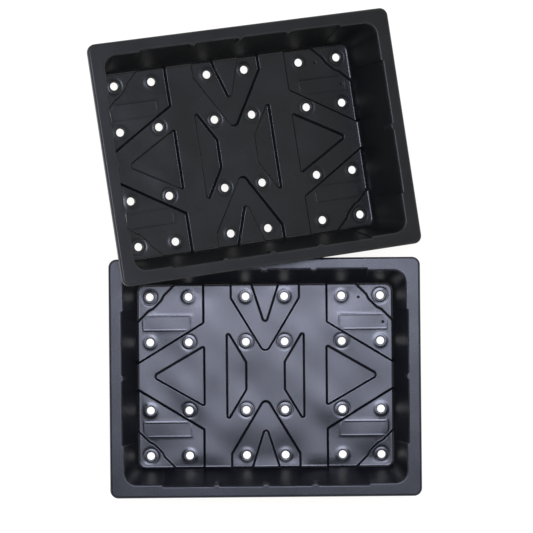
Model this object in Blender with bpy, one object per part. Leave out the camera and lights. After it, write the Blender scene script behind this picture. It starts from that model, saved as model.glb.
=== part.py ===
"""Two black plastic half-size seed trays: one lies flat, the other leans on its far rim.

Units are metres, +Z is up. Both trays are the same moulding: a relief floor with drain holes,
drafted walls and a flat rim with a turned-down lip. The origin is at the bottom centre of the
pair's bounding box.
"""

import math

import bpy
from mathutils import Matrix, Vector
from mathutils.geometry import delaunay_2d_cdt

MM = 0.001

# Overall sizes of one tray.
LENGTH = 230.0 * MM
WIDTH = 176.4 * MM
HEIGHT = 55.0 * MM
SHEET = 1.0 * MM
LIP_DEPTH = 4.2 * MM
RIM_CORNER_R = 6.0 * MM
EDGE_BREAK = 0.6 * MM
LIP_FLARE = 0.1 * MM

# Opening at the rim: the middle of each side is set out by a small step.
OPEN_X = 104.8 * MM
OPEN_Y = 78.8 * MM
OPEN_R = 9.2 * MM
PANEL_OUT = 1.4 * MM
PANEL_HALF_X = 76.0 * MM
PANEL_HALF_Y = 49.0 * MM
PANEL_RAMP = 1.0 * MM
LUG_IN = 1.3 * MM
LUG_HALF = 2.8 * MM
LUG_DROP = 14.0 * MM
LUGS_LONG_SIDE = (-36.5 * MM, 0.0, 36.5 * MM)
LUGS_SHORT_SIDE = (0.0,)

# Foot of the walls, where they meet the floor relief.
FOOT_X = 97.0 * MM
FOOT_Y = 70.0 * MM
FOOT_R = 6.6 * MM
FOOT_Z = 6.5 * MM
LOW_INSET = 1.0 * MM
HIGH_INSET = 2.0 * MM

# Floor relief: low panels stand on the ground, the cross-shaped body is raised between them.
STEP = 3.0 * MM
STEP_DRAFT = 1.3 * MM
UNDER_SHIFT = 0.66 * MM
UNDER_FOOT_SHIFT = 0.97 * MM
UNDER_FOOT_DROP = 0.3 * MM
UNDER_LOW_INSET = 1.13 * MM
UNDER_HIGH_INSET = 2.49 * MM
UNDER_OPEN_SHIFT = 0.85 * MM

# Drain holes.
HOLE_R = 2.9 * MM
HOLE_X = (14.6 * MM, 57.7 * MM, 86.9 * MM)
HOLE_Y = (25.7 * MM, 59.9 * MM)
HOLE_SIDES = 12

# Pose of the leaning tray.
LEAN_YAW = math.radians(8.15)
LEAN_TILT = math.radians(16.6)
LEAN_X = -19.5 * MM
LEAN_Y = 168.25 * MM

CORNER_SEGMENTS = 4
RELIEF_TURN = math.radians(34)
MERGE = 1e-6


def clear_scene():
    """Remove every object, so that the file starts empty."""
    for ob in list(bpy.data.objects):
        bpy.data.objects.remove(ob, do_unlink=True)


# ---- plan outlines ----

def rounded_rect(a, b, r):
    """Anticlockwise outline of a rounded rectangle with half sizes a and b."""
    points = []
    corners = ((a - r, b - r, 0), (r - a, b - r, 90), (r - a, r - b, 180), (a - r, r - b, 270))
    for cx, cy, start in corners:
        for k in range(CORNER_SEGMENTS + 1):
            t = math.radians(start + 90.0 * k / CORNER_SEGMENTS)
            points.append((cx + r * math.cos(t), cy + r * math.sin(t)))
    return points


def rect_inset(x, y, a, b, r):
    """How far a point lies inside a rounded rectangle, negative when outside."""
    qx = abs(x) - (a - r)
    qy = abs(y) - (b - r)
    outside = math.hypot(max(qx, 0.0), max(qy, 0.0))
    return r - outside - min(max(qx, qy), 0.0)


def side_profile(half, lugs, lug_in):
    """Offsets along one side of the opening: (position, distance set out from the corners)."""
    points = [(-half - PANEL_RAMP, 0.0), (-half, PANEL_OUT)]
    for c in lugs:
        points.append((c - LUG_HALF, PANEL_OUT))
        if lug_in > 0:
            points.append((c - 0.5 * LUG_HALF, PANEL_OUT - lug_in))
            points.append((c + 0.5 * LUG_HALF, PANEL_OUT - lug_in))
        points.append((c + LUG_HALF, PANEL_OUT))
    points += [(half, PANEL_OUT), (half + PANEL_RAMP, 0.0)]
    return points


def opening(shift, lug_in):
    """Anticlockwise outline of the opening, with its stepped sides and denesting lugs."""
    a = OPEN_X + shift
    b = OPEN_Y + shift
    base = rounded_rect(a, b, OPEN_R + shift)
    n = CORNER_SEGMENTS + 1
    long_side = side_profile(PANEL_HALF_X, LUGS_LONG_SIDE, lug_in)
    short_side = side_profile(PANEL_HALF_Y, LUGS_SHORT_SIDE, lug_in)
    out = base[0:n]
    out += [(-u, b + d) for u, d in long_side]
    out += base[n:2 * n]
    out += [(-a - d, -u) for u, d in short_side]
    out += base[2 * n:3 * n]
    out += [(u, -b - d) for u, d in long_side]
    out += base[3 * n:4 * n]
    out += [(a + d, u) for u, d in short_side]
    return out


def lug_feet():
    """Each lug's two shoulders at the opening and its foot on the wall, where it dies away."""
    drop = LUG_DROP / (HEIGHT - FOOT_Z)
    top_x = OPEN_X + PANEL_OUT
    top_y = OPEN_Y + PANEL_OUT
    x = top_x - drop * (top_x - FOOT_X)
    y = top_y - drop * (top_y - FOOT_Y)
    feet = []
    for s in (1, -1):
        for c in LUGS_LONG_SIDE:
            feet.append([(c - LUG_HALF, s * top_y), (c, s * y), (c + LUG_HALF, s * top_y)])
        for c in LUGS_SHORT_SIDE:
            feet.append([(s * top_x, c - LUG_HALF), (s * x, c), (s * top_x, c + LUG_HALF)])
    return feet


# ---- floor relief contours, with the low region on the left of each chain ----

PANEL_EDGE = ((47.2, 70.0, 0.0), (47.2, 40.6, 0.9), (97.0, 10.2, 0.0))
CORNER_CUT = ((97.0, 39.4, 0.0), (87.4, 49.0, 2.0), (84.0, 50.6, 3.0), (77.6, 57.0, 3.0),
              (76.0, 60.4, 2.0), (66.4, 70.0, 0.0))
STRIP_OUTER = ((-25.1, 70.0, 0.0), (-25.1, 58.9, 1.5), (0.0, 17.2, 3.0), (25.1, 58.9, 1.5),
               (25.1, 70.0, 0.0))
STRIP_INNER = ((11.2, 70.0, 0.0), (0.0, 35.0, 2.5), (-11.2, 70.0, 0.0))
SIDE_TRIANGLE = ((46.8, -21.6, 0.5), (84.2, 0.0, 1.8), (46.8, 21.6, 0.5))
SIDE_TRAPEZOID = ((28.4, -32.2, 0.5), (28.4, 32.2, 0.5), (15.2, 10.2, 1.4), (15.2, -10.2, 1.4))


def mirrored(chain, mx, my):
    """A chain reflected in x or y, reversed when needed so that it keeps its low side."""
    out = [(x * mx, y * my, r) for x, y, r in chain]
    return out if mx * my > 0 else out[::-1]


def low_regions():
    """Each low region as (chains, closed)."""
    regions = []
    for mx in (1, -1):
        for my in (1, -1):
            parts = [mirrored(PANEL_EDGE, mx, my), mirrored(CORNER_CUT, mx, my)]
            regions.append((parts, False))
        regions.append(([mirrored(SIDE_TRIANGLE, mx, 1)], True))
        regions.append(([mirrored(SIDE_TRAPEZOID, mx, 1)], True))
    for my in (1, -1):
        parts = [mirrored(STRIP_OUTER, 1, my), mirrored(STRIP_INNER, 1, my)]
        regions.append((parts, False))
    return regions


def offset_line(p, q, d):
    """The line from p to q moved to its right by d, as a point and a unit direction."""
    direction = (Vector(q) - Vector(p)).normalized()
    normal = Vector((direction.y, -direction.x))
    return Vector(p) + normal * d, direction


def cross_lines(p, u, q, v):
    """Where the line p + s u meets the line q + t v."""
    det = u.x * v.y - u.y * v.x
    w = q - p
    return p + u * ((w.x * v.y - w.y * v.x) / det)


def reach_wall(p, u, foot_x, foot_y):
    """Follow the line from p along u to the foot of the wall that it meets first."""
    steps = []
    if abs(u.x) > 1e-9:
        steps.append((math.copysign(foot_x, u.x) - p.x) / u.x)
    if abs(u.y) > 1e-9:
        steps.append((math.copysign(foot_y, u.y) - p.y) / u.y)
    return p + u * min(steps)


def fillet(before, at, after, r):
    """Points of an arc of radius r that rounds the corner at."""
    u = (at - before).normalized()
    v = (after - at).normalized()
    turn = math.acos(max(-1.0, min(1.0, u.dot(v))))
    if r <= 0 or turn < 1e-4:
        return [at]
    run = r * math.tan(turn / 2)
    start = at - u * run
    side = 1.0 if u.x * v.y - u.y * v.x > 0 else -1.0
    centre = start + Vector((-u.y, u.x)) * (r * side)
    arm = start - centre
    count = max(1, round(turn / RELIEF_TURN))
    points = []
    for k in range(count + 1):
        t = side * turn * k / count
        c, s = math.cos(t), math.sin(t)
        points.append(centre + Vector((arm.x * c - arm.y * s, arm.x * s + arm.y * c)))
    return points


def contour(chain, closed, d, foot_x, foot_y):
    """A chain moved by d away from its low side, with rounded corners, in metres."""
    pts = [Vector((x, y)) * MM for x, y, _ in chain]
    radii = [r * MM for _, _, r in chain]
    n = len(pts)
    pairs = n if closed else n - 1
    lines = [offset_line(pts[i], pts[(i + 1) % n], d) for i in range(pairs)]
    sharp = []
    for i in range(n):
        if not closed and i == 0:
            p, u = lines[0]
            sharp.append(reach_wall(p, -u, foot_x, foot_y))
        elif not closed and i == n - 1:
            p, u = lines[-1]
            sharp.append(reach_wall(p, u, foot_x, foot_y))
        else:
            sharp.append(cross_lines(*lines[i - 1], *lines[i % pairs]))
    out = []
    for i in range(n):
        if not closed and i in (0, n - 1):
            out.append(sharp[i])
            continue
        u = sharp[i] - sharp[i - 1]
        v = sharp[(i + 1) % n] - sharp[i]
        grow = d if u.x * v.y - u.y * v.x > 0 else -d
        out += fillet(sharp[i - 1], sharp[i], sharp[(i + 1) % n], radii[i] + grow)
    return out


def region_outlines(d, foot_x, foot_y):
    """Closed outline of every low region, moved outward by d."""
    outlines = []
    for chains, closed in low_regions():
        outline = []
        for chain in chains:
            outline += contour(chain, closed, d, foot_x, foot_y)
        outlines.append(outline)
    return outlines


def inside(x, y, outline):
    """Whether a point lies inside a closed outline."""
    hit = False
    n = len(outline)
    for i in range(n):
        ax, ay = outline[i]
        bx, by = outline[(i + 1) % n]
        if (ay > y) != (by > y) and x < ax + (y - ay) * (bx - ax) / (by - ay):
            hit = not hit
    return hit


class Skin:
    """One side of the sheet as a height over the plan, triangulated between its outlines."""

    def __init__(self, foot, foot_z, insets, levels, shift):
        self.foot = foot
        self.foot_z = foot_z
        self.insets = insets
        self.levels = levels
        self.shift = shift
        self.middle = region_outlines(shift + STEP_DRAFT / 2, foot[0], foot[1])
        self.points = []
        self.heights = []
        self.edges = []

    def height(self, x, y):
        """Height of the skin inside the foot of the walls."""
        inset = rect_inset(x, y, *self.foot)
        low = any(inside(x, y, outline) for outline in self.middle)
        run = self.insets[0] if low else self.insets[1]
        level = self.levels[0] if low else self.levels[1]
        share = max(0.0, min(1.0, inset / run))
        return self.foot_z + (level - self.foot_z) * share

    def add(self, outline, height=None, closed=True):
        """Add an outline; a height of None follows the floor relief."""
        first = len(self.points)
        n = len(outline)
        self.points += [Vector((p[0], p[1])) for p in outline]
        self.heights += [height] * n
        self.edges += [(first + i, first + (i + 1) % n) for i in range(n if closed else n - 1)]
        return list(range(first, first + n))

    def add_relief(self):
        """Add the floor boundary loops and both edges of every step."""
        a, b, r = self.foot
        self.add(rounded_rect(a, b, r))
        for inset in self.insets:
            self.add(rounded_rect(a - inset, b - inset, r - inset))
        for chains, closed in low_regions():
            for chain in chains:
                for d in (self.shift, self.shift + STEP_DRAFT):
                    self.add(contour(chain, closed, d, a, b), None, closed)

    def triangulate(self, rim, holes):
        """Fill the outlines with triangles and lift them to their heights."""
        coords, _, faces, origins, _, _ = delaunay_2d_cdt(
            self.points, self.edges, [], 0, MERGE, True)
        place = {}
        verts = []
        for k, co in enumerate(coords):
            known = [self.heights[i] for i in origins[k] if self.heights[i] is not None]
            z = known[0] if known else self.height(co.x, co.y)
            verts.append((co.x, co.y, z))
            for i in origins[k]:
                place[i] = k
        gaps = [[coords[place[i]] for i in ring] for ring in holes]
        kept = []
        for face in faces:
            cx = sum(coords[i].x for i in face) / 3
            cy = sum(coords[i].y for i in face) / 3
            if not any(inside(cx, cy, gap) for gap in gaps):
                kept.append(list(face))
        return verts, kept, [place[i] for i in rim], [[place[i] for i in h] for h in holes]


def hole_rings():
    """Outline of every drain hole."""
    rings = []
    for x in HOLE_X:
        for y in HOLE_Y:
            for mx, my in ((1, 1), (-1, 1), (-1, -1), (1, -1)):
                turns = [2 * math.pi * (k + 0.5) / HOLE_SIDES for k in range(HOLE_SIDES)]
                ring = [(x * mx + HOLE_R * math.cos(t), y * my + HOLE_R * math.sin(t))
                        for t in turns]
                rings.append(ring)
    return rings


def upper_skin():
    """The inside of the tray and the top of its rim."""
    skin = Skin((FOOT_X, FOOT_Y, FOOT_R), FOOT_Z, (LOW_INSET, HIGH_INSET),
                (SHEET, SHEET + STEP), 0.0)
    rim = skin.add(rounded_rect(LENGTH / 2 - EDGE_BREAK, WIDTH / 2 - EDGE_BREAK,
                                RIM_CORNER_R - EDGE_BREAK), HEIGHT)
    skin.add(opening(0.0, LUG_IN), HEIGHT)
    for shoulder, foot, other in lug_feet():
        ends = skin.add([shoulder, foot, other], HEIGHT, False)
        skin.heights[ends[1]] = HEIGHT - LUG_DROP
    skin.add_relief()
    holes = [skin.add(ring) for ring in hole_rings()]
    return skin.triangulate(rim, holes)


def under_skin():
    """The underside of the tray, out to the inner corner of the lip."""
    foot = (FOOT_X + UNDER_FOOT_SHIFT, FOOT_Y + UNDER_FOOT_SHIFT, FOOT_R + UNDER_FOOT_SHIFT)
    skin = Skin(foot, FOOT_Z - UNDER_FOOT_DROP, (UNDER_LOW_INSET, UNDER_HIGH_INSET),
                (0.0, STEP), UNDER_SHIFT)
    inset = SHEET + EDGE_BREAK
    rim = skin.add(rounded_rect(LENGTH / 2 - inset, WIDTH / 2 - inset, RIM_CORNER_R - inset),
                   HEIGHT - SHEET)
    skin.add(opening(UNDER_OPEN_SHIFT, 0.0), HEIGHT - SHEET)
    skin.add_relief()
    holes = [skin.add(ring) for ring in hole_rings()]
    return skin.triangulate(rim, holes)


def bridge(first, second):
    """Two triangles per side between two closed rings of the same length."""
    n = len(first)
    faces = []
    for i in range(n):
        j = (i + 1) % n
        faces.append([first[i], second[i], second[j]])
        faces.append([first[i], second[j], first[j]])
    return faces


def ring_at(verts, a, b, r, z):
    """Append a rounded rectangle ring at height z and return its vertex numbers."""
    first = len(verts)
    points = rounded_rect(a, b, r)
    verts += [(x, y, z) for x, y in points]
    return list(range(first, first + len(points)))


def tray_geometry():
    """Vertices and faces of one tray, lying flat with its floor's underside at z = 0."""
    verts, faces, rim_top, holes_top = upper_skin()
    low_verts, low_faces, rim_low, holes_low = under_skin()
    base = len(verts)
    verts = verts + low_verts
    faces = faces + [[base + i for i in reversed(f)] for f in low_faces]
    rim_low = [base + i for i in rim_low]
    a, b, r = LENGTH / 2, WIDTH / 2, RIM_CORNER_R
    shoulder = ring_at(verts, a - LIP_FLARE, b - LIP_FLARE, r - LIP_FLARE, HEIGHT - EDGE_BREAK)
    lip_out = ring_at(verts, a, b, r, HEIGHT - LIP_DEPTH)
    lip_in = ring_at(verts, a - SHEET, b - SHEET, r - SHEET, HEIGHT - LIP_DEPTH)
    inset = SHEET + LIP_FLARE
    inner = ring_at(verts, a - inset, b - inset, r - inset, HEIGHT - SHEET - EDGE_BREAK)
    rings = [rim_top, shoulder, lip_out, lip_in, inner, rim_low]
    for upper, lower in zip(rings, rings[1:]):
        faces += bridge(upper, lower)
    for top, low in zip(holes_top, holes_low):
        faces += bridge([base + i for i in low], top)
    return verts, faces


def plastic(name, colour):
    """Satin black plastic."""
    mat = bpy.data.materials.new(name)
    mat.use_nodes = True
    shader = mat.node_tree.nodes["Principled BSDF"]
    shader.inputs["Base Color"].default_value = (*colour, 1.0)
    shader.inputs["Roughness"].default_value = 0.4
    mat.diffuse_color = (*colour, 1.0)
    return mat


def tray(name, geometry, matrix, colour):
    """One tray as its own object, placed by a matrix that is applied to its mesh."""
    verts, faces = geometry
    mesh = bpy.data.meshes.new(name)
    mesh.from_pydata([matrix @ Vector(v) for v in verts], [], faces)
    mesh.materials.append(plastic(name + "_plastic", colour))
    mesh.validate()
    mesh.update()
    ob = bpy.data.objects.new(name, mesh)
    bpy.context.scene.collection.objects.link(ob)
    return ob


def lean_matrix():
    """Turn and tilt of the leaning tray, with its lowest edge on the ground."""
    turn = Matrix.Rotation(LEAN_YAW, 4, 'Z') @ Matrix.Rotation(LEAN_TILT, 4, 'Y')
    reach = FOOT_X + UNDER_FOOT_SHIFT - UNDER_LOW_INSET
    rise = reach * math.sin(LEAN_TILT)
    return Matrix.Translation((LEAN_X, LEAN_Y, rise)) @ turn


def centre_pair(objects):
    """Shift both meshes so that the pair's bounding box is centred over the origin."""
    corners = [v.co for ob in objects for v in ob.data.vertices]
    low = [min(c[i] for c in corners) for i in range(3)]
    high = [max(c[i] for c in corners) for i in range(3)]
    shift = Vector((-(low[0] + high[0]) / 2, -(low[1] + high[1]) / 2, -low[2]))
    for ob in objects:
        ob.data.transform(Matrix.Translation(shift))
    print("pair shift mm", [round(s * 1000, 3) for s in shift])


def main():
    clear_scene()
    geometry = tray_geometry()
    flat = tray("flat_tray", geometry, Matrix.Identity(4), (0.022, 0.023, 0.028))
    leaning = tray("leaning_tray", geometry, lean_matrix(), (0.018, 0.018, 0.020))
    centre_pair([flat, leaning])
    print("triangles per tray", len(flat.data.polygons))


main()
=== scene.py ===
"""Two black half-size seed trays: one lies flat, the other leans on its far rim.

Both are the same thin moulding. Its mesh is made once, as a relief floor, walls with stepped
panels and lugs, a rolled rim and an underside, and is then placed where each CAD tray is.
Sizes are in millimetres until a mesh is placed.
"""

import math

import bpy
import numpy as np
from mathutils import Euler, Matrix, Vector
from mathutils.geometry import delaunay_2d_cdt


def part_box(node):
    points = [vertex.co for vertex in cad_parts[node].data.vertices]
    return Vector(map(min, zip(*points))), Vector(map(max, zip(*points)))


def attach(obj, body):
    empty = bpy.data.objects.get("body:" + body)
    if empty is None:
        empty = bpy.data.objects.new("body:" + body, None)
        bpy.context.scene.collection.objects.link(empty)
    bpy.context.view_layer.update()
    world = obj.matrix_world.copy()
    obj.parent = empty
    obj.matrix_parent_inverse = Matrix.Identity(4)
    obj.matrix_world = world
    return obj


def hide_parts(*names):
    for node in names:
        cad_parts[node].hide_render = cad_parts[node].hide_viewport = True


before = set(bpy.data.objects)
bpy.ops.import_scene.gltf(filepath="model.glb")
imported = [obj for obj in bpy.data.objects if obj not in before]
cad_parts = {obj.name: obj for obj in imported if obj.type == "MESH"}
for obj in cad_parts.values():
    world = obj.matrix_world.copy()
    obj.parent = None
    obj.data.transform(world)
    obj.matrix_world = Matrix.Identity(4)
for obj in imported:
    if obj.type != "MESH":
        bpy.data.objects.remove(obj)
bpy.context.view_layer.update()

MM = 0.001

# Farther than any two points lie apart, and the distance at which two points become one.
FAR = 1e3
MERGE = 1e-4

# Whole tray.
HALF = np.array((115.0, 88.2))
HEIGHT = 55.0
SHEET = 1.0
RIM_CORNER_R = 6.0
RIM_EDGE_R = 1.5
LIP_DEPTH = 4.2

# Opening and foot of the walls, as half length, half width and corner radius.
OPENING = np.array((104.2, 78.2, 9.0))
FOOT = np.array((97.0, 70.0, 6.6))
FOOT_Z = 6.5
WALL_LEAN = 0.19
OPENING_EDGE_R = 1.3

# The same on the underside of the sheet, and the radius where the rim turns down into its lip.
UNDER_TOP = HEIGHT - SHEET
UNDER_OPENING = OPENING + 1.1
UNDER_FOOT = FOOT + 0.97
UNDER_FOOT_Z = 6.2
UNDER_EDGE_R = OPENING_EDGE_R + 0.8
FOLD_R = 0.6

# Each side of the walls: the foot and its height, then the opening and its height.
INNER_WALL = (FOOT, FOOT_Z, OPENING, HEIGHT)
OUTER_WALL = (UNDER_FOOT, UNDER_FOOT_Z, UNDER_OPENING, UNDER_TOP)

# Heights of the rings of points on each wall, and how far the next rings lie beyond its edge.
INNER_HEIGHTS = (FOOT_Z, 8.0, 11.0, 16.0, 22.0, 28.0, 34.0, 39.0, 40.5, 41.5, 43.0, 45.5, 48.0,
                 50.0, 51.4, 52.5)
OUTER_HEIGHTS = (50.5, 48.0, 45.0, 42.0, 40.0, 36.0, 30.0, 24.0, 18.0, 12.0, 8.5, UNDER_FOOT_Z)
FLAT_STEPS = (0.5, 1.6)

# Each wall's middle is set out towards the rim, and carries lugs that stop trays from jamming.
# A lug stands in from the wall by LUG_IN at the top and dies away over LUG_DROP.
PANEL_OUT = 1.4
PANEL_RAMP = 1.0
PANEL_LONG = 76.0
PANEL_SHORT = 49.0
LUG_IN = 1.3
LUG_HALF = 2.8
LUG_SHOULDER = 0.62 * LUG_HALF
LUG_DROP = 14.0
LUGS_LONG = (-36.5, 0.0, 36.5)
LUGS_SHORT = (0.0,)

# Points along a wall: how far they reach, their spacing, and more at a panel's ends and at lugs.
LONG_REACH = 88.0
SHORT_REACH = 61.0
STATION_GAP = 8.0
LEAST_GAP = 0.15
PANEL_END_SHARES = (-0.6, -0.2, 0.1, 0.3, 0.5, 0.7, 0.9, 1.2, 1.6)
LUG_SHARES = np.linspace(-1.2, 1.2, 17)
CORNER_STEPS = 12

# Floor relief.
LOW_TOP = 1.0
STEP = 3.0
STEP_DRAFT = 1.3
STEP_FOOT_R = 0.4
STEP_EDGE_R = 0.45
LOW_CORNER_R = 1.2
HIGH_CORNER_R = 2.2
UNDER_LOW_CORNER_R = 1.4
UNDER_HIGH_CORNER_R = 2.6
UNDER_SHIFT = 0.66

# Unevenness of the sheet: each wave is longer than the last by WARP_LONGER, and as high as
# a share of its length. They start inside the foot of the walls and grow over WARP_RISE.
WARP_SEED = 11
WARP_WAVES = 14
WARP_SHORTEST = 22.0
WARP_LONGER = 3.2
WARP_SHARE = 0.0012
WARP_START = 2.0
WARP_RISE = 6.0

# Drain holes.
HOLE_X = (14.6, 57.7, 86.9)
HOLE_Y = (25.7, 59.9)
HOLE_R = 2.95
HOLE_SIDES = 40

# Blank label plates on the corner panels: half length, half width and corner radius, and the
# section of the ribbed edge as inset from the outline against height. The edge fades out beside
# a relief line.
PLATE_MIDDLE = (74.0, 40.2)
PLATE = np.array((18.0, 5.5, 0.7))
PLATE_CURVE = np.array(((-1.0, 0.0), (-0.5, 0.05), (-0.1, 0.11), (0.1, 0.13), (0.7, 0.05),
                        (1.0, 0.03), (1.3, 0.03)))
PLATE_FADE = 0.5

# Moulding pips on one corner panel, with their section as radius against height.
PIPS = ((70.6, 58.5), (89.0, 39.7))
PIP_CURVE = np.array(((0.1, -0.6), (0.35, -0.55), (0.65, -0.36), (0.88, -0.08), (1.0, 0.0),
                      (1.4, 0.0)))
PIP_SIDES = 12

# The floor's triangles: spacing of their points on each side of the sheet, how near the wall
# the first outline may lie, the smallest corner radius and the turn per side of a fillet, the
# lines beside each relief step and beyond the wall's rounded foot, and how far a relief line
# stops short of the wall.
UPPER_SPACING = 4.0
UNDER_SPACING = 9.0
NEAREST_OUTLINE = 0.12
LEAST_CORNER_R = 0.2
FILLET_TURN = math.radians(11.0)
STEP_GUARDS = (0.35, 0.4)
BEYOND_ROUNDING = (0.5, 1.2)
LINE_GAP = 0.04

# Loose points between the outlines keep clear of the walls, steps, holes and plates.
LOOSE_PITCH = 1.1
LOOSE_FROM_WALL = 5.5
LOOSE_FROM_STEP_LOW = 2.2
LOOSE_FROM_STEP_HIGH = 3.0
LOOSE_FROM_HOLE = 9.0
LOOSE_FROM_PLATE = 1.5

# How far edge wear spreads to each side of a relief step's upper edge.
WEAR_SPREAD = 0.5

# Stretched, duller plastic: none on the floor, all of it up the walls, and less again on the rim.
STRETCH_START = 6.0
STRETCH_RISE = 4.0
RIM_START = HEIGHT - 3.5
RIM_RISE = 2.0
RIM_LESS = 0.65

# Edges sharper than this are shaded as sharp.
SHARP_ANGLE = math.radians(38.0)

# The studio floor lies just under the trays: its height, rings, and the curve up into its wall.
FLOOR_Z = -0.0003
FLOOR_RINGS = (0.4, 1.5, 2.9)
COVE_R = 0.7
COVE_TOP = 2.4
FLOOR_SIDES = 72

# Turn and tilt of the leaning tray.
LEAN_YAW = math.radians(8.15)
LEAN_TILT = math.radians(16.6)


# ---- curves that the sections follow ----

def smooth(t):
    """Smooth rise from 0 to 1."""
    t = np.clip(t, 0.0, 1.0)
    return t * t * (3.0 - 2.0 * t)


def arc_points(centre, radius, start, stop, steps):
    """Points of a section's arc: angles are in degrees, from the first axis to the second."""
    turns = np.radians(np.linspace(start, stop, steps + 1))
    return [(centre[0] + radius * math.cos(t), centre[1] + radius * math.sin(t)) for t in turns]


def step_curve():
    """Section of a relief step: distance from its line against height, with both edges round."""
    pitch = math.degrees(math.atan2(STEP, STEP_DRAFT))
    half_tan = math.tan(math.radians(pitch / 2))
    low = (-STEP_FOOT_R * half_tan, STEP_FOOT_R)
    high = (STEP_DRAFT + STEP_EDGE_R * half_tan, STEP - STEP_EDGE_R)
    curve = arc_points(low, STEP_FOOT_R, -90.0, pitch - 90.0, steps=4)
    curve += arc_points(high, STEP_EDGE_R, 90.0 + pitch, 90.0, steps=4)
    return np.array(curve)


def wall_curve(foot_z, level, radius):
    """Section from the wall down to the floor: inset from the wall's foot against height."""
    lean = math.degrees(math.atan(WALL_LEAN))
    meet = (foot_z - level) * WALL_LEAN
    run = radius * math.tan(math.radians((90.0 - lean) / 2))
    centre = (meet + run, level + radius)
    above = (-1.0, foot_z + 1.0 / WALL_LEAN)
    return np.array([above] + arc_points(centre, radius, 180.0 + lean, 270.0, steps=6))


STEP_CURVE = step_curve()

# Sections round a drain hole, as radius against height, on the raised floor and on a low panel.
HOLE_CURVE = np.array((
    (HOLE_R, -0.5), (3.05, -0.2), (3.25, 0.0), (3.55, 0.08), (4.4, 0.0), (5.2, -0.12),
    (5.6, -0.16), (5.9, -0.13), (6.3, -0.05), (6.7, 0.0), (8.0, 0.0)))
LOW_HOLE_CURVE = np.array((
    (HOLE_R, -0.3), (3.05, 0.05), (3.25, 0.24), (3.55, 0.31), (4.4, 0.24), (5.2, 0.14),
    (5.6, 0.09), (5.9, 0.06), (6.3, 0.03), (6.7, 0.01), (8.0, 0.0)))


# ---- relief lines, with the low region on the left of each chain ----

PANEL_EDGE = ((47.2, 70.0, 0.0), (47.2, 40.6, 0.9), (97.0, 10.2, 0.0))
CORNER_CUT = ((97.0, 39.4, 0.0), (87.4, 49.0, 2.0), (84.0, 50.6, 3.0), (77.6, 57.0, 3.0),
              (76.0, 60.4, 2.0), (66.4, 70.0, 0.0))
STRIP_OUTER = ((-25.1, 70.0, 0.0), (-25.1, 58.9, 1.5), (0.0, 17.2, 3.0), (25.1, 58.9, 1.5),
               (25.1, 70.0, 0.0))
STRIP_INNER = ((11.2, 70.0, 0.0), (0.0, 35.0, 2.5), (-11.2, 70.0, 0.0))
SIDE_TRIANGLE = ((46.8, -21.6, 0.5), (84.2, 0.0, 1.8), (46.8, 21.6, 0.5))
SIDE_TRAPEZOID = ((28.4, -32.2, 0.5), (28.4, 32.2, 0.5), (15.2, 10.2, 1.4), (15.2, -10.2, 1.4))


def mirrored(chain, mx, my):
    """A chain reflected in x or y, reversed when needed so that it keeps its low side."""
    out = [(x * mx, y * my, r) for x, y, r in chain]
    return out if mx * my > 0 else out[::-1]


def low_regions():
    """Each low region as (chains, closed)."""
    regions = []
    for mx in (1, -1):
        for my in (1, -1):
            parts = [mirrored(PANEL_EDGE, mx, my), mirrored(CORNER_CUT, mx, my)]
            regions.append((parts, False))
        regions.append(([mirrored(SIDE_TRIANGLE, mx, 1)], True))
        regions.append(([mirrored(SIDE_TRAPEZOID, mx, 1)], True))
    for my in (1, -1):
        parts = [mirrored(STRIP_OUTER, 1, my), mirrored(STRIP_INNER, 1, my)]
        regions.append((parts, False))
    return regions


def offset_line(p, q, d):
    """The line from p to q moved to its right by d, as a point and a unit direction."""
    direction = (q - p).normalized()
    return p + Vector((direction.y, -direction.x)) * d, direction


def cross_lines(p, u, q, v):
    """Where the line p + s u meets the line q + t v."""
    det = u.x * v.y - u.y * v.x
    w = q - p
    return p + u * ((w.x * v.y - w.y * v.x) / det)


def reach_wall(p, u, limit):
    """Follow the line from p along u to the side of the limiting rectangle it meets first."""
    steps = []
    for k in range(2):
        if abs(u[k]) > 1e-9:
            steps.append((math.copysign(limit[k], u[k]) - p[k]) / u[k])
    return p + u * min(steps)


def fillet(before, at, after, radius):
    """Points of an arc that rounds the corner at."""
    u = (at - before).normalized()
    v = (after - at).normalized()
    turn = math.acos(max(-1.0, min(1.0, u.dot(v))))
    if radius <= 0 or turn < 1e-4:
        return [at]
    start = at - u * (radius * math.tan(turn / 2))
    side = 1.0 if u.x * v.y - u.y * v.x > 0 else -1.0
    centre = start + Vector((-u.y, u.x)) * (radius * side)
    count = max(2, round(turn / FILLET_TURN))
    points = []
    for k in range(count + 1):
        spin = Matrix.Rotation(side * turn * k / count, 2)
        points.append(centre + spin @ (start - centre))
    return points


def contour(chain, closed, d, limit):
    """A chain moved by d away from its low side, with its corners rounded."""
    pts = [Vector((x, y)) for x, y, _ in chain]
    n = len(pts)
    pairs = n if closed else n - 1
    lines = [offset_line(pts[i], pts[(i + 1) % n], d) for i in range(pairs)]
    sharp = []
    for i in range(n):
        if not closed and i == 0:
            p, u = lines[0]
            sharp.append(reach_wall(p, -u, limit))
        elif not closed and i == n - 1:
            p, u = lines[-1]
            sharp.append(reach_wall(p, u, limit))
        else:
            sharp.append(cross_lines(*lines[i - 1], *lines[i % pairs]))
    out = []
    for i in range(n):
        if not closed and i in (0, n - 1):
            out.append(sharp[i])
            continue
        before, at, after = sharp[i - 1], sharp[i], sharp[(i + 1) % n]
        turn = (at - before).cross(after - at)
        out += fillet(before, at, after, chain[i][2] + (d if turn > 0 else -d))
    return [tuple(p) for p in out]


def subdivided(points, closed, spacing):
    """The same outline with its long edges divided."""
    out = []
    n = len(points)
    for i in range(n if closed else n - 1):
        p = np.array(points[i])
        q = np.array(points[(i + 1) % n])
        count = max(1, round(float(np.linalg.norm(q - p)) / spacing))
        out += [tuple(p + (q - p) * k / count) for k in range(count)]
    return out if closed else out + [tuple(points[-1])]


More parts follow.
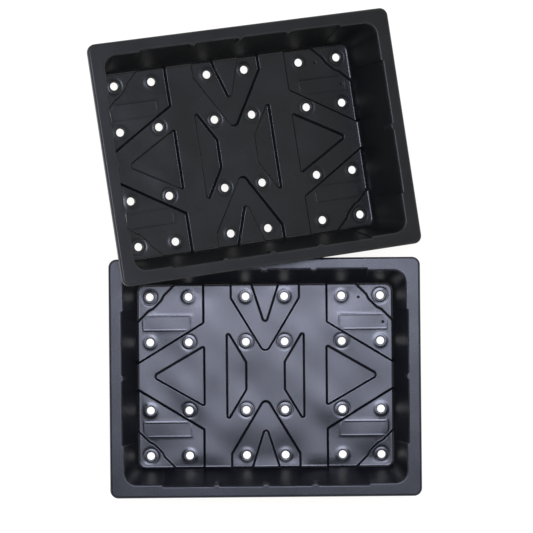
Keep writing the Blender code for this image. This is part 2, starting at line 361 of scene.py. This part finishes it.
# ---- height of the floor ----

# The relief lines run on under the walls, so that distances from them hold up to the foot.
BEYOND_WALL = (FOOT[0] + 6.0, FOOT[1] + 6.0)
RELIEF_LINES = [[contour(chain, closed, 0.0, BEYOND_WALL) for chain in chains]
                for chains, closed in low_regions()]
HOLES = np.array([(x * mx, y * my) for x in HOLE_X for y in HOLE_Y
                  for mx in (1, -1) for my in (1, -1)])


def segment_distance(p, a, b):
    """Distance of every point p from the segment a b."""
    a = np.array(a)
    ab = np.array(b) - a
    t = np.clip(((p - a) @ ab) / (ab @ ab), 0.0, 1.0)
    return np.hypot(*(p - a - t[:, None] * ab).T)


def inside(p, outline):
    """Which points p lie inside a closed outline."""
    hit = np.zeros(len(p), bool)
    for (ax, ay), (bx, by) in zip(outline, outline[1:] + outline[:1]):
        if ay != by:
            spans = (ay > p[:, 1]) != (by > p[:, 1])
            hit ^= spans & (p[:, 0] < ax + (p[:, 1] - ay) * (bx - ax) / (by - ay))
    return hit


def relief_distance(p):
    """Distance from the nearest relief line, negative over the low regions."""
    best = np.full(len(p), FAR)
    low = np.zeros(len(p), bool)
    for (_, closed), lines in zip(low_regions(), RELIEF_LINES):
        for line in lines:
            ends = line[1:] + line[:1] if closed else line[1:]
            for a, b in zip(line, ends):
                best = np.minimum(best, segment_distance(p, a, b))
        low |= inside(p, [q for line in lines for q in line])
    return np.where(low, -best, best)


def rect_inset(p, size):
    """How far points lie inside a rounded rectangle, negative when outside."""
    a, b, r = size
    q = np.abs(p) - (a - r, b - r)
    outside = np.hypot(*np.maximum(q, 0.0).T)
    return r - outside - np.minimum(q.max(axis=1), 0.0)


def plate_inset(p):
    """How far points lie inside the nearest label plate."""
    return rect_inset(np.abs(p) - PLATE_MIDDLE, PLATE)


def nearest(p, centres):
    """Distance from the nearest of some centres."""
    best = np.full(len(p), FAR)
    for centre in centres:
        best = np.minimum(best, np.hypot(*(p - centre).T))
    return best


def warp(p):
    """Gentle unevenness of thin moulded sheet."""
    waves = np.random.default_rng(WARP_SEED)
    total = np.zeros(len(p))
    for k in range(WARP_WAVES):
        length = WARP_SHORTEST + WARP_LONGER * k
        angle, phase = waves.uniform(0.0, 2.0 * math.pi, 2)
        along = p @ (math.cos(angle), math.sin(angle))
        total += WARP_SHARE * length * np.sin(2.0 * math.pi * along / length + phase)
    return total


class Side:
    """One side of the floor: its edge on the wall, its two levels and its rounded corners.

    The low and high curves are the sections from the wall down to each level.
    """

    def __init__(self, foot, foot_z, lift, shift, radii, spacing):
        self.foot = foot
        self.foot_z = foot_z
        self.shift = shift
        self.spacing = spacing
        self.low = wall_curve(foot_z, LOW_TOP + lift, radii[0])
        self.high = wall_curve(foot_z, LOW_TOP + STEP + lift, radii[1])

    def height(self, p):
        """Height of the floor at points p, with no point below the ground."""
        inset = rect_inset(p, self.foot)
        d = relief_distance(p) - self.shift
        low = np.interp(inset, *self.low.T)
        high = np.interp(inset, *self.high.T)
        share = np.interp(d, STEP_CURVE[:, 0], STEP_CURVE[:, 1] / STEP)
        from_hole = nearest(p, HOLES)
        z = low + (high - low) * share
        z += np.interp(from_hole, *HOLE_CURVE.T) * share
        z += np.interp(from_hole, *LOW_HOLE_CURVE.T) * (1.0 - share)
        z += np.interp(nearest(p, PIPS), *PIP_CURVE.T)
        z += np.interp(plate_inset(p), *PLATE_CURVE.T) * smooth((-d - PLATE_FADE) / PLATE_FADE)
        return np.maximum(z + warp(p) * smooth((inset - WARP_START) / WARP_RISE), 0.0)


UPPER = Side(FOOT, FOOT_Z, lift=0.0, shift=0.0, radii=(LOW_CORNER_R, HIGH_CORNER_R),
             spacing=UPPER_SPACING)
UNDER = Side(UNDER_FOOT, UNDER_FOOT_Z, lift=-SHEET, shift=UNDER_SHIFT,
             radii=(UNDER_LOW_CORNER_R, UNDER_HIGH_CORNER_R), spacing=UNDER_SPACING)


# ---- rings of the walls and rim ----

def stations(reach, panel, lugs):
    """Positions along one wall, closer together at the panel's ends and at the lugs."""
    places = list(np.linspace(-reach, reach, round(2 * reach / STATION_GAP) + 1))
    for side in (-1, 1):
        places += [side * (panel + share * PANEL_RAMP) for share in PANEL_END_SHARES]
    for lug in lugs:
        places += list(lug + LUG_SHARES * LUG_HALF)
    places.sort()
    kept = [places[0]]
    for place in places[1:]:
        if place - kept[-1] > LEAST_GAP:
            kept.append(place)
    return np.array(kept)


LONG = stations(LONG_REACH, PANEL_LONG, LUGS_LONG)
SHORT = stations(SHORT_REACH, PANEL_SHORT, LUGS_SHORT)


def side_offset(along, panel, lugs, panel_out, lug_in):
    """How far a wall is set out along its length."""
    out = panel_out * (1.0 - smooth((np.abs(along) - panel) / PANEL_RAMP))
    for lug in lugs:
        out = out - lug_in * smooth((LUG_HALF - np.abs(along - lug)) / LUG_SHOULDER)
    return out


def ring(size, panel_out=0.0, lug_in=0.0):
    """Anticlockwise ring of points round the tray, with the same count at every level."""
    a, b, r = size
    long_side = side_offset(LONG, PANEL_LONG, LUGS_LONG, panel_out, lug_in)
    short_side = side_offset(SHORT, PANEL_SHORT, LUGS_SHORT, panel_out, lug_in)
    points = []
    for k in range(4):
        turns = np.radians(90.0 * k + np.linspace(0.0, 90.0, CORNER_STEPS + 1))
        out = np.array((math.cos(math.radians(90.0 * (k + 1))),
                        math.sin(math.radians(90.0 * (k + 1)))))
        tangent = np.array((-out[1], out[0]))
        centre = np.array(((a - r) * (1, -1, -1, 1)[k], (b - r) * (1, 1, -1, -1)[k]))
        points.append(centre + r * np.column_stack((np.cos(turns), np.sin(turns))))
        along, offset, half = ((LONG, long_side, b), (SHORT, short_side, a))[k % 2]
        points.append(np.outer(along, tangent) + np.outer(half + offset, out))
    return np.vstack(points)


def wall_ring(foot, foot_z, top, top_z, z, out=0.0):
    """A ring of the wall at height z, set out by a further distance."""
    t = (z - foot_z) / (top_z - foot_z)
    lug = LUG_IN * max(0.0, min(1.0, 1.0 + (z - HEIGHT) / LUG_DROP))
    return ring(foot + (top - foot) * t + out, PANEL_OUT * t, lug)


def opening_edge(radius, top_z):
    """The rounded edge between wall and rim, as (height, distance set out from the wall)."""
    lean = math.degrees(math.atan(WALL_LEAN))
    centre = (radius / math.cos(math.radians(lean)) - WALL_LEAN * radius, top_z - radius)
    section = arc_points(centre, radius, 180.0 - lean, 90.0, steps=6)
    return [(z, x - WALL_LEAN * (z - top_z)) for x, z in section]


def rim_ring(inset):
    """A ring round the rim, at a distance inside its outer edge."""
    return ring((HALF[0] - inset, HALF[1] - inset, RIM_CORNER_R - inset))


def rim_section():
    """Section of the rim and its lip, from the top round to the underside.

    Each entry is (inset from the tray's outer edge, height, edge wear).
    """
    lip_z = HEIGHT - LIP_DEPTH
    outer = arc_points((RIM_EDGE_R, HEIGHT - RIM_EDGE_R), RIM_EDGE_R, 90.0, 180.0, steps=6)
    hem = arc_points((SHEET / 2, lip_z + SHEET / 2), SHEET / 2, 180.0, 360.0, steps=8)
    fold = arc_points((SHEET + FOLD_R, UNDER_TOP - FOLD_R), FOLD_R, 180.0, 90.0, steps=3)
    section = [(RIM_EDGE_R + 2.0, HEIGHT, 0.0), (RIM_EDGE_R + 0.4, HEIGHT, 0.0)]
    section += [(x, z, 1.0) for x, z in outer]
    section += [(0.0, z, 0.0) for z in (HEIGHT - RIM_EDGE_R - 0.4, lip_z + 0.9, lip_z + 0.4)]
    section += [(x, z, 1.0) for x, z in hem[1:-1]]
    section += [(SHEET, z, 0.0) for z in (lip_z + 0.6, UNDER_TOP - 1.0, UNDER_TOP - FOLD_R)]
    section += [(x, z, 0.0) for x, z in fold[1:]]
    section.append((SHEET + 2 * FOLD_R, UNDER_TOP, 0.0))
    return section


def wall_rings(wall, places, worn=0.0):
    """The rings of a wall at each (height, distance set out)."""
    return [(wall_ring(*wall, z, out), z, worn) for z, out in places]


def wall_and_rim():
    """Every ring from the floor up the inside, over the rim, under it and down the outside.

    Each entry is (points, height, edge wear).
    """
    inner_edge = opening_edge(OPENING_EDGE_R, HEIGHT)
    inner_flat = [(HEIGHT, inner_edge[-1][1] + more) for more in FLAT_STEPS]
    outer_edge = opening_edge(UNDER_EDGE_R, UNDER_TOP)[::-1]
    outer_flat = [(UNDER_TOP, outer_edge[0][1] + more) for more in FLAT_STEPS[::-1]]
    rings = wall_rings(INNER_WALL, [(z, 0.0) for z in INNER_HEIGHTS])
    rings += wall_rings(INNER_WALL, inner_edge, worn=1.0)
    rings += wall_rings(INNER_WALL, inner_flat)
    rings += [(rim_ring(inset), z, worn) for inset, z, worn in rim_section()]
    rings += wall_rings(OUTER_WALL, outer_flat + outer_edge)
    rings += wall_rings(OUTER_WALL, [(z, 0.0) for z in OUTER_HEIGHTS])
    return rings


# ---- floor triangles ----

def rounded_rect(size, spacing):
    """Anticlockwise outline of a rounded rectangle, with its sides divided."""
    a, b, r = size
    r = max(r, LEAST_CORNER_R)
    points = []
    for k in range(4):
        centre = ((a - r) * (1, -1, -1, 1)[k], (b - r) * (1, 1, -1, -1)[k])
        points += arc_points(centre, r, 90.0 * k, 90.0 * (k + 1), steps=8)
    return subdivided(points, True, spacing)


def circle(centre, radius, sides):
    """Anticlockwise circle."""
    turns = 2.0 * math.pi * (np.arange(sides) + 0.5) / sides
    return [(centre[0] + radius * math.cos(t), centre[1] + radius * math.sin(t)) for t in turns]


def floor_outlines(side):
    """Every outline that the floor's triangles have to follow, as (points, closed)."""
    outlines = []
    insets = sorted(set(np.round(np.concatenate((side.low[1:, 0], side.high[1:, 0])), 3)))
    further = [insets[-1] + more for more in BEYOND_ROUNDING]
    for inset in [s for s in insets if s > NEAREST_OUTLINE] + further:
        outlines.append((rounded_rect(side.foot - inset, side.spacing), True))
    limit = side.foot[:2] - LINE_GAP
    guards = (STEP_CURVE[0, 0] - STEP_GUARDS[0], STEP_CURVE[-1, 0] + STEP_GUARDS[1])
    for chains, closed in low_regions():
        for chain in chains:
            for d in [guards[0], *STEP_CURVE[:, 0], guards[1]]:
                line = contour(chain, closed, side.shift + d, limit)
                outlines.append((subdivided(line, closed, side.spacing), closed))
    for centre in HOLES:
        for radius in HOLE_CURVE[1:, 0]:
            outlines.append((circle(centre, radius, HOLE_SIDES), True))
    for centre in PIPS:
        for radius in PIP_CURVE[:, 0]:
            outlines.append((circle(centre, radius, PIP_SIDES), True))
    for inset in PLATE_CURVE[:, 0]:
        plate = np.array(rounded_rect(PLATE - inset, side.spacing))
        for mx in (1, -1):
            for my in (1, -1):
                middle = np.array(PLATE_MIDDLE) * (mx, my)
                outlines.append(([tuple(p) for p in plate + middle], True))
    return outlines


def loose_points(side):
    """Points between the outlines, so that the sheet's unevenness shows."""
    pitch = side.spacing * LOOSE_PITCH
    count = np.floor(side.foot[:2] / pitch).astype(int)
    xs = np.arange(-count[0], count[0] + 1) * pitch
    ys = np.arange(-count[1], count[1] + 1) * pitch
    p = np.array([(x, y) for x in xs for y in ys])
    d = relief_distance(p) - side.shift
    clear = (d < -LOOSE_FROM_STEP_LOW) | (d > LOOSE_FROM_STEP_HIGH)
    clear &= rect_inset(p, side.foot) > LOOSE_FROM_WALL
    clear &= nearest(p, HOLES) > LOOSE_FROM_HOLE
    clear &= np.abs(plate_inset(p)) > LOOSE_FROM_PLATE
    return p[clear]


def floor_mesh(side, edge_ring):
    """One side of the floor: vertices, triangles, its edge ring and its hole rings."""
    points = []
    edges = []

    def add(outline, closed=True):
        first = len(points)
        n = len(outline)
        points.extend(Vector((float(x), float(y))) for x, y in outline)
        edges.extend((first + i, first + (i + 1) % n) for i in range(n if closed else n - 1))
        return range(first, first + n)

    rim = add(edge_ring)
    holes = [add(circle(centre, HOLE_R, HOLE_SIDES)) for centre in HOLES]
    for outline, closed in floor_outlines(side):
        add(outline, closed)
    points.extend(Vector((float(x), float(y))) for x, y in loose_points(side))
    coords, _, faces, origins, _, _ = delaunay_2d_cdt(points, edges, [], 0, MERGE, True)
    place = {i: k for k, group in enumerate(origins) for i in group}
    plan = np.array([(co.x, co.y) for co in coords])
    faces = np.array(faces)
    middles = plan[faces].mean(axis=1)
    faces = faces[nearest(middles, HOLES) > HOLE_R]
    heights = side.height(plan)
    rim = [place[i] for i in rim]
    heights[rim] = side.foot_z
    verts = np.column_stack((plan, heights))
    return verts, faces, rim, [[place[i] for i in hole] for hole in holes]


def step_wear(verts):
    """Edge wear of the floor, most at the upper edge of each relief step."""
    return np.exp(-((relief_distance(verts[:, :2]) - STEP_DRAFT) / WEAR_SPREAD) ** 2)


def bridge(first, second):
    """Quads between two closed rings of the same length."""
    n = len(first)
    return [(first[i], first[(i + 1) % n], second[(i + 1) % n], second[i]) for i in range(n)]


def tray_shape():
    """The whole tray as vertices, faces and edge wear, standing at z = 0."""
    rings = wall_and_rim()
    top, top_faces, top_rim, top_holes = floor_mesh(UPPER, rings[0][0])
    low, low_faces, low_rim, low_holes = floor_mesh(UNDER, rings[-1][0])
    verts = [top, low]
    wears = [step_wear(top), np.zeros(len(low))]
    base = len(top)
    polygons = [tuple(int(i) for i in f) for f in top_faces]
    polygons += [tuple(int(i) + base for i in f[::-1]) for f in low_faces]
    count = base + len(low)
    previous = top_rim
    for points, z, worn in rings[1:-1]:
        verts.append(np.column_stack((points, np.full(len(points), z))))
        wears.append(np.full(len(points), worn))
        current = list(range(count, count + len(points)))
        count += len(points)
        polygons += bridge(current, previous)
        previous = current
    polygons += bridge([base + i for i in low_rim], previous)
    for top_hole, low_hole in zip(top_holes, low_holes):
        polygons += bridge(top_hole, [base + i for i in low_hole])
    return np.vstack(verts), polygons, np.concatenate(wears)


# ---- materials ----

# Patterns of the plastic, in cycles per metre, the part of each noise that is used, and the
# heights of the bumps in metres.
TONE_SCALE = 38.0
TONE_RANGE = (0.3, 0.7)
GRAIN_SCALE = 2600.0
STREAK_SCALE = 900.0
STREAK_STRETCH = (1.0, 0.12, 1.0)
SCUFF_RANGE = (0.63, 0.74)
WEAR_SCALE = 70.0
CLOUD_SCALE = 22.0
CLOUD_HEIGHT = 0.0005
GRAIN_HEIGHT = 0.000006
SCUFF_HEIGHT = 0.00001

# What scuffs, wear and stretching add to its roughness, how the shine of stretched plastic
# drops, and how worn edges look paler.
SCUFF_ROUGH = 0.05
WEAR_ROUGH = 0.04
STRETCH_ROUGH = 0.2
FULL_SHINE = 0.5
STRETCH_SHINE = 0.2
WORN_PALER = 2.6
WORN_SHARE = 0.6


class Nodes:
    """Short calls for building a material's node tree."""

    def __init__(self, name):
        self.material = bpy.data.materials.new(name)
        self.material.use_nodes = True
        self.tree = self.material.node_tree
        self.shader = self.tree.nodes["Principled BSDF"]

    def link(self, source, target):
        """Join an output to an input."""
        self.tree.links.new(source, target)

    def add(self, kind, **values):
        """A node of this kind with its named properties and inputs set or linked."""
        node = self.tree.nodes.new("ShaderNode" + kind)
        for key, value in values.items():
            if hasattr(node, key):
                setattr(node, key, value)
                continue
            socket = node.inputs[key.replace("_", " ")]
            if isinstance(value, bpy.types.NodeSocket):
                self.link(value, socket)
            else:
                socket.default_value = value
        return node

    def place(self):
        """Position on the mesh, in metres."""
        return self.add("TexCoord").outputs["Object"]

    def noise(self, scale, detail=3.0, rough=0.5, vector=None):
        """Noise between 0 and 1, with its scale in cycles per metre."""
        node = self.add("TexNoise", Scale=scale, Detail=detail, Roughness=rough,
                        Vector=vector or self.place())
        return node.outputs["Fac"]

    def remap(self, value, low, high, to_low, to_high):
        """A value stretched from one range to another, without going past its ends."""
        node = self.add("MapRange", Value=value, From_Min=low, From_Max=high, To_Min=to_low,
                        To_Max=to_high)
        return node.outputs["Result"]

    def maths(self, operation, a, b):
        """One sum on two values."""
        node = self.add("Math", operation=operation)
        for socket, value in zip(node.inputs, (a, b)):
            if isinstance(value, bpy.types.NodeSocket):
                self.link(value, socket)
            else:
                socket.default_value = value
        return node.outputs["Value"]

    def mix(self, share, a, b):
        """A colour between a and b."""
        node = self.add("Mix", data_type="RGBA")
        for socket, value in ((node.inputs[0], share), (node.inputs[6], a), (node.inputs[7], b)):
            if isinstance(value, bpy.types.NodeSocket):
                self.link(value, socket)
            else:
                socket.default_value = value
        return node.outputs[2]

    def bump(self, height, distance, strength, normal=None):
        """A bump of this height in metres, on top of an earlier one if given."""
        node = self.add("Bump", Height=height, Distance=distance, Strength=strength)
        if normal:
            self.link(normal, node.inputs["Normal"])
        return node.outputs["Normal"]


def tray_plastic(name, dark, light, roughness):
    """Glossy black moulded sheet: cloudy sheen, fine grain, scuffed and slightly worn edges."""
    n = Nodes(name)
    worn = n.add("Attribute", attribute_name="wear").outputs["Fac"]
    stretch = n.add("Attribute", attribute_name="stretch").outputs["Fac"]
    tone = n.noise(TONE_SCALE, detail=4.0, rough=0.55)
    grain = n.noise(GRAIN_SCALE, detail=2.0, rough=0.6)
    streak_place = n.add("Mapping", Vector=n.place(), Scale=STREAK_STRETCH).outputs["Vector"]
    streaks = n.noise(STREAK_SCALE, detail=5.0, rough=0.7, vector=streak_place)
    scuffs = n.remap(streaks, *SCUFF_RANGE, 0.0, 1.0)
    patches = n.remap(n.noise(WEAR_SCALE, detail=1.0), *TONE_RANGE, 0.2, 0.8)
    wear_mask = n.maths("MULTIPLY", worn, patches)

    body = n.mix(n.remap(tone, *TONE_RANGE, 0.0, 1.0), (*dark, 1.0), (*light, 1.0))
    pale = tuple(c * WORN_PALER for c in light)
    body = n.mix(n.maths("MULTIPLY", wear_mask, WORN_SHARE), body, (*pale, 1.0))
    n.link(body, n.shader.inputs["Base Color"])

    rough = n.remap(tone, *TONE_RANGE, roughness - 0.03, roughness + 0.04)
    for mask, more in ((scuffs, SCUFF_ROUGH), (wear_mask, WEAR_ROUGH), (stretch, STRETCH_ROUGH)):
        rough = n.maths("ADD", rough, n.maths("MULTIPLY", mask, more))
    n.link(rough, n.shader.inputs["Roughness"])
    shine = n.remap(stretch, 0.0, 1.0, FULL_SHINE, STRETCH_SHINE)
    n.link(shine, n.shader.inputs["Specular IOR Level"])

    clouds = n.bump(n.noise(CLOUD_SCALE, detail=1.0, rough=0.4), CLOUD_HEIGHT, strength=1.0)
    fine = n.bump(grain, GRAIN_HEIGHT, strength=1.0, normal=clouds)
    scuffed = n.bump(scuffs, SCUFF_HEIGHT, strength=0.5, normal=fine)
    n.link(scuffed, n.shader.inputs["Normal"])
    n.shader.inputs["IOR"].default_value = 1.52
    return n.material


def floor_surface(name):
    """Pale, almost white paper floor that glows a little, as a light table does."""
    n = Nodes(name)
    mottle = n.noise(9.0, detail=4.0)
    colour = n.mix(mottle, (0.24, 0.24, 0.24, 1.0), (0.28, 0.28, 0.28, 1.0))
    n.link(colour, n.shader.inputs["Base Color"])
    n.link(n.remap(mottle, *TONE_RANGE, 0.7, 0.8), n.shader.inputs["Roughness"])
    fibres = n.noise(1400.0)
    n.link(n.bump(fibres, distance=0.0001, strength=0.3), n.shader.inputs["Normal"])
    n.shader.inputs["Emission Color"].default_value = (1.0, 0.99, 0.97, 1.0)
    n.shader.inputs["Emission Strength"].default_value = 0.9
    n.shader.inputs["Specular IOR Level"].default_value = 0.2
    return n.material


# ---- pieces ----

def stretched(z):
    """How stretched the sheet is at these heights, from 0 to 1."""
    on_wall = smooth((z - STRETCH_START) / STRETCH_RISE)
    on_rim = smooth((z - RIM_START) / RIM_RISE)
    return on_wall * (1.0 - RIM_LESS * on_rim)


def moulding(name, shape, matrix, material):
    """A tray's mesh, placed by a matrix that is applied to its points."""
    verts, polygons, wear = shape
    rotation = np.array(matrix.to_3x3())
    placed = (verts * MM) @ rotation.T + np.array(matrix.translation)
    mesh = bpy.data.meshes.new(name)
    mesh.from_pydata([tuple(v) for v in placed], [], polygons)
    mesh.validate()
    for key, values in (("wear", wear), ("stretch", stretched(verts[:, 2]))):
        attribute = mesh.attributes.new(key, "FLOAT", "POINT")
        attribute.data.foreach_set("value", values.astype(np.float32))
    mesh.polygons.foreach_set("use_smooth", [True] * len(mesh.polygons))
    mesh.set_sharp_from_angle(angle=SHARP_ANGLE)
    mesh.materials.append(material)
    mesh.update()
    piece = bpy.data.objects.new(name, mesh)
    bpy.context.scene.collection.objects.link(piece)
    return piece


def place_over(shape, rotation, node):
    """The matrix that turns a tray and stands it where the CAD node is."""
    turned = (shape[0] * MM) @ np.array(rotation.to_3x3()).T
    low, high = turned.min(axis=0), turned.max(axis=0)
    node_low, node_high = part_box(node)
    middle = (node_low + node_high) / 2
    shift = Vector((middle.x - (low[0] + high[0]) / 2, middle.y - (low[1] + high[1]) / 2,
                    node_low.z - low[2]))
    return Matrix.Translation(shift) @ rotation


def trays():
    """Both trays, each standing for its CAD node."""
    shape = tray_shape()
    lean = Matrix.Rotation(LEAN_YAW, 4, 'Z') @ Matrix.Rotation(LEAN_TILT, 4, 'Y')
    # Both trays are one plastic in two copies. The flat tray's base colour is tinted blue as a
    # painted reflection of the bluish overhead light. The leaning tray's copy is neutral, and its
    # tone is raised as painted light to make up for a dimmer overhead light.
    glossy_painted_blue_reflection = tray_plastic("flat_tray_plastic_painted_blue_reflection", dark=(0.0075, 0.0083, 0.0115),
                          light=(0.011, 0.012, 0.017), roughness=0.2)
    satin_painted_light = tray_plastic("leaning_tray_plastic_painted_light", dark=(0.008, 0.0083, 0.0085),
                         light=(0.012, 0.0124, 0.0125), roughness=0.27)
    for node, rotation, material in (("flat_tray", Matrix.Identity(4), glossy_painted_blue_reflection),
                                     ("leaning_tray", lean, satin_painted_light)):
        piece = moulding(node + "_moulding", shape, place_over(shape, rotation, node), material)
        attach(piece, node)
        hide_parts(node)
        print(piece.name, "faces", len(piece.data.polygons))


# ---- studio ----

def studio_floor():
    """A round pale floor just under the trays, which curves up into a low wall far away."""
    end = FLOOR_RINGS[-1]
    section = [(reach, 0.0) for reach in FLOOR_RINGS]
    section += arc_points((end, COVE_R), COVE_R, -90.0, 0.0, steps=10)[1:]
    section.append((end + COVE_R, COVE_TOP))
    sides = FLOOR_SIDES
    verts = [(0.0, 0.0, FLOOR_Z)]
    for reach, height in section:
        for k in range(sides):
            turn = 2.0 * math.pi * k / sides
            verts.append((reach * math.cos(turn), reach * math.sin(turn), FLOOR_Z + height))
    rows = [list(range(1 + sides * i, 1 + sides * (i + 1))) for i in range(len(section))]
    faces = [(0, rows[0][k], rows[0][(k + 1) % sides]) for k in range(sides)]
    for inner, outer in zip(rows, rows[1:]):
        faces += bridge(outer, inner)
    mesh = bpy.data.meshes.new("studio_floor")
    mesh.from_pydata(verts, [], faces)
    mesh.polygons.foreach_set("use_smooth", [True] * len(mesh.polygons))
    mesh.materials.append(floor_surface("studio_floor_paper"))
    floor = bpy.data.objects.new("studio_floor", mesh)
    bpy.context.scene.collection.objects.link(floor)


def soft_light(name, location, target, size, power, colour):
    """A rectangular soft light that faces its target."""
    light = bpy.data.lights.new(name, "AREA")
    light.shape = "RECTANGLE"
    light.size, light.size_y = size
    light.energy = power
    light.color = colour
    ob = bpy.data.objects.new(name, light)
    ob.location = location
    aim = Vector(target) - Vector(location)
    ob.rotation_euler = aim.to_track_quat('-Z', 'Y').to_euler()
    ob.visible_camera = False
    bpy.context.scene.collection.objects.link(ob)


def lights():
    """A big overhead light, brightest over the far side, a dim one to the right and a faint
    even surround.
    """
    blue = (0.74, 0.78, 1.0)
    soft_light("overhead", (0.03, 0.075, 1.6), (0.03, 0.075, 0.0), size=(0.66, 0.63),
               power=7.1, colour=blue)
    soft_light("core", (0.03, 0.22, 1.62), (0.03, 0.22, 0.0), size=(0.5, 0.32),
               power=6.4, colour=blue)
    soft_light("side", (1.0, 0.25, 1.55), (0.0, 0.1, 0.0), size=(0.8, 1.0),
               power=0.8, colour=(0.95, 1.0, 1.0))
    world = bpy.data.worlds.new("studio")
    world.use_nodes = True
    background = world.node_tree.nodes["Background"]
    background.inputs["Color"].default_value = (0.93, 0.96, 1.0, 1.0)
    background.inputs["Strength"].default_value = 0.16
    bpy.context.scene.world = world


def camera():
    """A long lens almost straight above the trays."""
    data = bpy.data.cameras.new("camera")
    data.sensor_width = 36.0
    data.lens = 202.6
    data.clip_end = 50.0
    ob = bpy.data.objects.new("camera", data)
    ob.location = (0.0186, -0.02444, 2.26713)
    ob.rotation_euler = Euler([math.radians(a) for a in (0.3668, 0.3179, -0.5458)])
    bpy.context.scene.collection.objects.link(ob)
    bpy.context.scene.camera = ob


camera()
trays()
studio_floor()
lights()
bpy.context.scene.view_settings.view_transform = "Standard"
